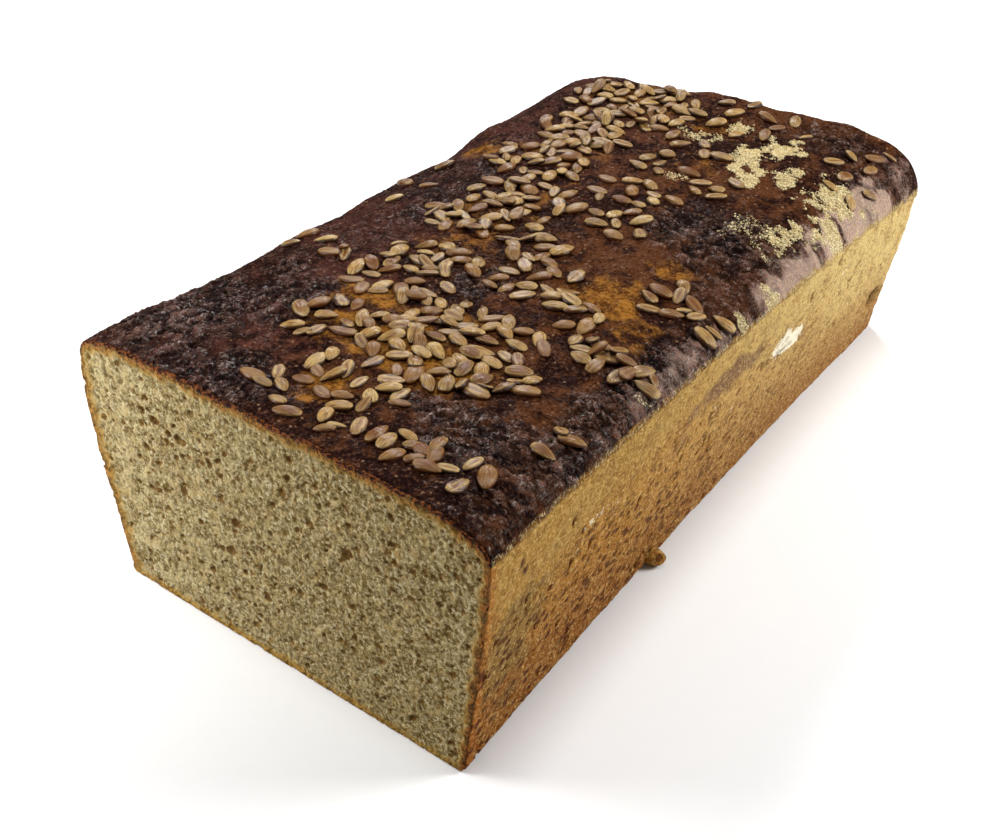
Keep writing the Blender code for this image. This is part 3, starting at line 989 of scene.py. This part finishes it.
CREST_WIDTH = 0.045  # of the crooked lines that a material draws where its noise crosses the middle


class Wire:
    """A socket's value in a material. Sums of wires and numbers add their Math nodes."""

    def __init__(self, finish, socket):
        self.finish, self.socket = finish, socket

    def maths(self, operation, first, second=0.0):
        return self.finish.node("Math", {"operation": operation}, {0: first, 1: second})

    def __add__(self, other):
        return self.maths("ADD", self, other)

    def __sub__(self, other):
        return self.maths("SUBTRACT", self, other)

    def __rsub__(self, other):
        return self.maths("SUBTRACT", other, self)

    def __mul__(self, other):
        return self.maths("MULTIPLY", self, other)

    def __abs__(self):
        return self.maths("ABSOLUTE", self)

    def __or__(self, other):
        """The larger of two masks."""
        return self.maths("MAXIMUM", self, other)

    __radd__, __rmul__, __ror__ = __add__, __mul__, __or__

    def ease(self, low, high):
        """0 below low and 1 above high, eased between them. Turned round if low is above high."""
        sockets = {"Value": self, "From Min": low, "From Max": high}
        return self.finish.node("MapRange", {"interpolation_type": "SMOOTHSTEP"}, sockets)

    def coated(self, *coats):
        """This colour under coats of others, each given as its share and its colour."""
        made = self
        for share, colour in coats:
            made = self.finish.mix(share, made, colour)
        return made


class Finish:
    """A material with its Principled shader, and the nodes that feed it."""

    def __init__(self, name):
        self.material = bpy.data.materials.new(name)
        self.material.use_nodes = True
        self.nodes = self.material.node_tree.nodes
        self.shader = self.nodes["Principled BSDF"]

    def node(self, kind, settings, sockets, output=0):
        """Any node: its settings come first, then the values or wires of its sockets."""
        made = self.nodes.new("ShaderNode" + kind)
        for name, value in settings.items():
            setattr(made, name, value)
        for name, value in sockets.items():
            self.feed(made.inputs[name], value)
        return Wire(self, made.outputs[output])

    def feed(self, socket, value):
        if isinstance(value, Wire):
            self.material.node_tree.links.new(value.socket, socket)
        else:
            socket.default_value = value

    def set(self, **sockets):
        """Sets or wires the shader's own sockets; an underscore stands for a space."""
        for name, value in sockets.items():
            self.feed(self.shader.inputs[name.replace("_", " ")], value)

    def place(self):
        return self.node("TexCoord", {}, {}, "Object")

    def metres(self, axis):
        """The distance along an axis."""
        return self.node("SeparateXYZ", {}, {"Vector": self.place()}, axis)

    def masks(self, names):
        """The numbers that are stored at the piece's vertices under each name."""
        return [self.node("Attribute", {"attribute_name": name}, {}, "Fac") for name in names.split()]

    def grain(self, size, detail=2.0, rough=0.5, stretch=(1, 1, 1), draw=0.0):
        """Noise from 0 to 1 with spots of the given size in metres."""
        moved = {"Vector": self.place(), "Scale": stretch, "Location": (draw, draw, draw)}
        where = self.node("Mapping", {}, moved)
        sockets = {"Vector": where, "Scale": 1 / size, "Detail": detail, "Roughness": rough}
        return self.node("TexNoise", {}, sockets, "Fac")

    def crests(self, size, stretch=(1, 1, 1), draw=0.0):
        """1 along thin crooked lines, about the given size apart, and 0 between them."""
        away = self.grain(size, 2, 0.6, stretch, draw) - 0.5
        return abs(away).ease(CREST_WIDTH, 0.0)

    def cells(self, size, stretch=(1, 1, 1)):
        """Distance from 0 to the middle of round cells of the given size."""
        where = self.node("Mapping", {}, {"Vector": self.place(), "Scale": stretch})
        return self.node("TexVoronoi", {}, {"Vector": where, "Scale": 1 / size}, "Distance")

    def mix(self, share, first, second):
        """From the first colour to the second, each wired or given by its 0 to 255 screen values."""
        first, second = (part if isinstance(part, Wire) else shade(*part) for part in (first, second))
        return self.node("Mix", {"data_type": "RGBA"}, {0: share, 6: first, 7: second}, 2)

    def bump(self, height, distance, strength=1.0):
        sockets = {"Height": height, "Distance": distance, "Strength": strength}
        return self.node("Bump", {}, sockets)


def linear(value):
    """The light that a 0 to 255 screen value stands for."""
    value = value / 255
    return value / 12.92 if value < 0.04 else ((value + 0.055) / 1.055) ** 2.4


def shade(red, green, blue):
    """A colour from its 0 to 255 screen values."""
    return (linear(red), linear(green), linear(blue), 1)


def burnt_crust():
    """The top: near-black and red-brown leather, amber where it stayed thin, dusty where meal lies."""
    finish = Finish("burnt_crust")
    broad = finish.grain(24 * MM, 3, 0.6)
    patchy = finish.grain(5 * MM, 4, 0.65, draw=3.0)
    fine = finish.grain(0.9 * MM, 3, 0.75, draw=7.0)
    tiny = finish.grain(0.4 * MM, 2, 0.7, draw=9.0)
    crests = finish.crests(1.5 * MM, (1, 0.4, 1), 5.0) | finish.crests(1.1 * MM, draw=12.0) * 0.6
    specks = finish.cells(2.2 * MM).ease(0.2, 0.1)
    far = finish.metres("Y").ease(-0.05, 0.09)
    fold, crumple, amber, ashen, mealy, inward = finish.masks("fold crumple amber ashen mealy inward")
    # ridge is 1 on the fold crests and 0 in their valleys, used for painted highlight and painted shade.
    ridge = (fold + (fine - 0.5) * 1.2).ease(-0.3, 0.5)
    # shown: thin crest lines over the crumpled crust; glint: the tops of the folds. Both take painted
    # glints.
    shown = crests * (crumple * 0.9 + 0.1) * fine.ease(0.42, 0.54)
    glint = (fold + (fine - 0.5) * 2.4).ease(0.45, 0.85) * crumple * patchy.ease(0.44, 0.56)
    dusted = (mealy + (fine - 0.5) * 1.8 + (tiny - 0.5) * 0.8).ease(0.5, 0.68)
    worn = (inward + (fine - 0.5) + (patchy - 0.5) * 1.4).ease(0.15, -0.1)
    line = (inward + (fine - 0.5) * 1.6).ease(0.5, 0.25) * inward.ease(-0.3, 0.1)

    brown = finish.mix(finish.metres("X").ease(-0.03, 0.01), (80, 45, 37), (92, 53, 28))
    leather = finish.mix((patchy + (broad - 0.5) * 0.8).ease(0.4, 0.62), (36, 16, 12), brown)
    dark = leather.coated(
        # Lighter where the fine grain stands up: partly wear, partly painted highlight.
        (fine.ease(0.53, 0.66) * 0.5, (122, 80, 56)),
        (specks * 0.55, (170, 132, 100)),
        # Painted shade in the fine grain's pits.
        (fine.ease(0.47, 0.36) * 0.7, (16, 5, 3)),
        # Painted highlight on the fold crests and painted shade in the fold valleys.
        (ridge * crumple * 0.35, (112, 82, 74)),
        ((1 - ridge) * crumple * 0.85, (12, 4, 3)),
        # Painted glints: whitish highlights on the fold tops and crest lines.
        (glint * 0.55, (140, 112, 104)),
        (shown * ridge * patchy.ease(0.4, 0.5) * 0.8, (198, 176, 166)),
    )
    golden = finish.mix(patchy.ease(0.4, 0.6), (100, 56, 18), (164, 108, 40)).coated(
        (fine.ease(0.52, 0.64) * 0.6, (178, 130, 62)),
        (fine.ease(0.47, 0.36) * 0.7, (56, 26, 12)),
    )
    # Mauve bloom with painted sheen: painted highlight on the fold ridges and crest lines, painted shade in
    # the valleys, palest where the mask is strongest.
    mauve = finish.mix(ridge, (44, 20, 17), (140, 102, 88)).coated(
        ((ashen + (patchy - 0.5) * 0.8).ease(0.8, 1.3), (204, 172, 150)),
        (fine.ease(0.48, 0.36) * 0.5, (112, 76, 62)),
        (crests * 0.5, (218, 194, 178)),
    )
    cream = finish.mix(tiny.ease(0.4, 0.6), (176, 150, 94), (244, 230, 182))
    tan_dark = finish.mix(far, (128, 86, 36), (178, 144, 84))
    tan_light = finish.mix(far, (186, 146, 80), (218, 194, 130))
    colour = dark.coated(
        ((amber + (patchy - 0.5) * 1.6).ease(0.25, 1.0), golden),
        ((ashen + (patchy - 0.5) * 1.6).ease(0.3, 1.15) * 0.92, mauve),
        (dusted * 0.92, cream),
        (worn, finish.mix(fine.ease(0.4, 0.6), tan_dark, tan_light)),
        (line * fine.ease(0.5, 0.6), (206, 180, 132)),
    )
    skin = finish.bump(fine * 0.7 + tiny * 0.5 + shown * 0.8, 1.1 * MM)
    finish.set(Base_Color=colour, Roughness=0.6, Normal=skin, Specular_IOR_Level=0.01)
    finish.set(Coat_Weight=(glint | shown) * (1 - dusted) * 0.4, Coat_Roughness=0.38)
    return finish.material


def tan_crust():
    """The sides: golden tan above, orange-brown and pinholed below, with flour and a mauve smear."""
    finish = Finish("tan_crust")
    broad = finish.grain(30 * MM, 3, 0.55, (1, 1, 1.8))
    patchy = finish.grain(6 * MM, 4, 0.65, draw=2.0)
    mottle = finish.grain(1.8 * MM, 3, 0.7, (1, 0.7, 1), 11.0)
    speckle = finish.grain(1.6 * MM, 3, 0.7, draw=14.0)
    fine = finish.grain(0.7 * MM, 3, 0.75, (1, 0.75, 1), 5.0)
    tiny = finish.grain(0.4 * MM, 2, 0.7, draw=8.0)
    far = finish.metres("Y").ease(-0.07, 0.1)
    up, pit, hole, floury, smeared = finish.masks("up pit hole floury smeared")
    olive, torn, near_cut = finish.masks("olive torn near_cut")
    level = up + (broad - 0.5) * 0.5 + (patchy - 0.5) * 0.5
    low = up.ease(0.85, 0.45) * patchy.ease(0.38, 0.5) * (1 - far * 0.8)
    speck = (finish.cells(2.2 * MM, (1, 0.6, 1)) + (tiny - 0.5) * 0.25).ease(0.42, 0.3)
    prick = finish.cells(1.0 * MM, (1, 0.8, 1)).ease(0.36, 0.2) * mottle.ease(0.46, 0.54)
    pinholes = (speck | prick) * low

    colour = finish.mix(level.ease(0.1, 0.6), (138, 82, 22), (170, 116, 42)).coated(
        (level.ease(0.5, 0.86), (164, 126, 58)),
        (far * (level.ease(0.1, 0.65) * 0.55 + 0.3), (216, 192, 126)),
        (far * (up + (patchy - 0.5) * 0.5).ease(0.22, 0.04) * 0.8, (148, 94, 44)),
        (patchy.ease(0.52, 0.64) * 0.45, (142, 84, 28)),
        (mottle.ease(0.53, 0.64) * 0.4, (204, 166, 96)),
        (mottle.ease(0.47, 0.37) * 0.4, (112, 68, 24)),
        ((olive + (patchy - 0.5) * 0.9).ease(0.3, 1.1) * 0.7, (120, 98, 50)),
        ((smeared + (patchy - 0.5) * 0.6).ease(0.3, 1.0) * 0.8, (112, 78, 58)),
        (near_cut * 0.6, (166, 92, 26)),
        (fine.ease(0.53, 0.65) * 0.6, (218, 188, 122)),
        (fine.ease(0.47, 0.36) * 0.6, (86, 50, 16)),
        ((floury + (speckle - 0.5) * 2.2).ease(0.45, 0.7) * 0.92, (244, 234, 208)),
        (pinholes * 0.9, (82, 38, 13)),
        (pit.ease(0.06, 0.5) * (0.9 - far * 0.55), (84, 38, 13)),
        (hole | torn, (70, 28, 12)),
    )
    skin = finish.bump(fine * 0.6 + tiny * 0.4 + mottle * 0.5 - pinholes * 0.7, 0.7 * MM)
    finish.set(Base_Color=colour, Roughness=0.6, Normal=skin, Specular_IOR_Level=0.05)
    return finish.material


def cut_crumb():
    """The cut face: a grey-beige sponge, its pores darkened with painted shade, toasted towards the crust.
    """
    finish = Finish("cut_crumb")
    broad = finish.grain(26 * MM, 2, 0.5)
    clumps = finish.grain(5 * MM, 3, 0.7, draw=2.0)
    lumps = finish.grain(2.3 * MM, 3, 0.65, draw=1.0)
    fine = finish.grain(0.9 * MM, 2, 0.7, draw=4.0)
    veins = finish.crests(2.0 * MM, draw=6.0)
    # Painted shade: the cut face darker and browner towards its right, with darker grain there.
    shaded = finish.metres("X").ease(-0.06, 0.03)
    pore, rim, burnt, outermost = finish.masks("pore rim burnt outermost")
    ragged_rim = rim + (lumps - 0.5) * 1.8 + (fine - 0.5)

    crisp = (lumps + (fine - 0.5) * 1.2).ease(0.4, 0.6)
    toasted = finish.mix(crisp, (92, 58, 20), (168, 130, 60))
    scorched = finish.mix(crisp, (44, 18, 8), (134, 80, 28))
    charred = finish.mix(fine.ease(0.44, 0.6), (34, 14, 10), (120, 66, 30))
    colour = finish.mix(lumps.ease(0.41, 0.58), (112, 93, 50), (168, 153, 110)).coated(
        (broad.ease(0.42, 0.62) * 0.35, (148, 132, 92)),
        (clumps.ease(0.5, 0.62) * 0.35, (190, 176, 132)),
        (clumps.ease(0.48, 0.38) * 0.35, (108, 84, 38)),
        (shaded * 0.4, (116, 92, 40)),
        (veins * 0.5, (198, 182, 138)),
        # Painted highlight on the raised grain, and painted shade in the gaps between it.
        (fine.ease(0.54, 0.64) * 0.55, (218, 207, 172)),
        (fine.ease(0.47, 0.37) * (shaded * 0.35 + 0.4), (78, 54, 18)),
        # Painted shade in the pores, darkest where they go deepest.
        (pore.ease(0.02, 0.5) * 0.85, (104, 70, 26)),
        (ragged_rim.ease(0.0, 0.5) * 0.55, (162, 126, 54)),
        (ragged_rim.ease(0.4, 0.95) * 0.9, finish.mix(burnt, toasted, scorched)),
        ((outermost * burnt + (lumps - 0.5) * 1.5).ease(0.25, 0.7), charred),
    )
    skin = finish.bump(fine * 0.5 + lumps * 0.8 + veins * 0.1, 0.9 * MM)
    finish.set(Base_Color=colour, Roughness=0.65, Normal=skin, Specular_IOR_Level=0.05)
    return finish.material


def toasted_seed():
    """Olive-cream kernels with a painted highlight round the face and painted shade on the lower sides,
    browner at the tip and inside a dished face.
    """
    finish = Finish("toasted_seed")
    tone, toast, hollow, along, across = finish.masks("tone toast hollow along across")
    facing, face = finish.masks("facing face")
    lengthwise = finish.node("CombineXYZ", {}, {0: along * 1.6, 1: across * 7, 2: tone * 90 + toast * 70})
    sockets = {"Vector": lengthwise, "Scale": 1, "Detail": 3, "Roughness": 0.6}
    streaks = finish.node("TexNoise", {}, sockets, "Fac")
    # rim: a painted highlight on the upper sides round the face.
    rim = facing.ease(0.4, 0.66) * (1 - face * 0.8)
    colour = finish.mix(tone.ease(0.0, 0.8), (98, 57, 17), (154, 111, 49)).coated(
        (tone.ease(0.75, 1.0) * 0.6, (192, 165, 108)),
        (rim * 0.6, (216, 184, 118)),
        (streaks.ease(0.5, 0.62) * 0.7, (90, 52, 16)),
        (streaks.ease(0.46, 0.36) * 0.4, (208, 176, 112)),
        (face * hollow * 0.9, (104, 58, 18)),
        # Painted shade on the sides that face down.
        (facing.ease(0.76, 0.2) * 0.94, (50, 24, 8)),
        (along.ease(0.5, 1.0) * 0.45, (88, 48, 16)),
        (toast.ease(0.4, 0.95) * 0.6, (104, 56, 16)),
    )
    skin = finish.bump(1 - streaks, 0.4 * MM, 0.8)
    finish.set(Base_Color=colour, Roughness=0.3, Normal=skin, Specular_IOR_Level=0.3)
    finish.set(Coat_Weight=0.08, Coat_Roughness=0.3)
    return finish.material


def dry_meal():
    """Dry cream grains."""
    finish = Finish("dry_meal")
    (tone,) = finish.masks("tone")
    colour = finish.mix(tone, (190, 162, 104), (248, 234, 188))
    finish.set(Base_Color=colour, Roughness=0.8, Specular_IOR_Level=0.2)
    return finish.material


# The photo's camera, found from the loaf's outline, in the loaf's own frame.
CAMERA_PLACE = Vector((187.32, -303.24, 247.13)) * MM
CAMERA_TARGET = Vector((0, -18.61, 16.93)) * MM
CAMERA_LENS = 57.1
WORLD_STRENGTH = 0.14
SUN_SPREAD = math.radians(17)
PAPER = (238.6, 238.6, 238.6), (241, 241, 241)  # the floor's two near-white tones


def set_up(name, data, place, aim):
    """Puts a camera or a lamp at its place, turned towards the aim."""
    made = bpy.data.objects.new(name, data)
    bpy.context.scene.collection.objects.link(made)
    made.location = place
    made.rotation_euler = (Vector(aim) - Vector(place)).to_track_quat("-Z", "Y").to_euler()
    return made


def camera():
    made = bpy.data.cameras.new("camera")
    made.lens = CAMERA_LENS
    made.clip_start = 0.01
    eye = set_up("camera", made, CAMERA_PLACE - LOAF_MIDDLE, CAMERA_TARGET - LOAF_MIDDLE)
    bpy.context.scene.camera = eye


def soft_lamp(name, place, aim, size, power):
    lamp = bpy.data.lights.new(name, "AREA")
    lamp.shape = "DISK"
    lamp.size = size
    lamp.energy = power
    set_up(name, lamp, place, aim)


def soft_sun(name, place, spread, strength):
    """Even light over the whole floor."""
    lamp = bpy.data.lights.new(name, "SUN")
    lamp.angle = spread
    lamp.energy = strength
    set_up(name, lamp, place, (0, 0, 0))


def studio():
    """A plain pale floor, faint light from all round, three soft lamps and a soft sun overhead."""
    world = bpy.data.worlds.new("studio")
    bpy.context.scene.world = world
    world.use_nodes = True
    background = world.node_tree.nodes["Background"]
    background.inputs["Color"].default_value = (1, 1, 1, 1)
    background.inputs["Strength"].default_value = WORLD_STRENGTH
    soft_lamp("left_front", (-0.17, -0.2, 0.13), (-0.06, -0.1, 0.04), 0.12, 0.52)
    soft_lamp("right_back", (0.45, 0.28, 0.36), (0.03, 0.05, 0.04), 0.3, 3.5)
    soft_lamp("left_back", (-0.35, 0.5, 0.45), (0, 0, 0.05), 0.14, 3.2)
    soft_sun("overhead", (0.0, -0.05, 0.9), SUN_SPREAD, 1.25)
    bpy.context.scene.view_settings.view_transform = "Standard"
    floor = begin("floor", bpy.ops.mesh.primitive_plane_add, size=6)
    paper = Finish("paper")
    paper.set(Base_Color=paper.mix(paper.grain(4 * MM), *PAPER), Roughness=0.9)
    floor.data.materials.append(paper.material)


def dress(piece, material):
    """Gives a finished piece its material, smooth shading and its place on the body."""
    piece.data.materials.clear()
    piece.data.materials.append(material)
    deselect_all()
    piece.select_set(True)
    bpy.context.view_layer.objects.active = piece
    bpy.ops.object.shade_smooth()
    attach(piece, "root")
    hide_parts("loaf")


def main():
    camera()
    sides = tan_crust()
    dress(top_crust(), burnt_crust())
    dress(side_crust(), sides)
    dress(base_crust(), sides)
    dress(dough_lump(), sides)
    dress(crumb(), cut_crumb())
    dress(sunflower_seeds(), toasted_seed())
    dress(loose_meal(), dry_meal())
    studio()


main()
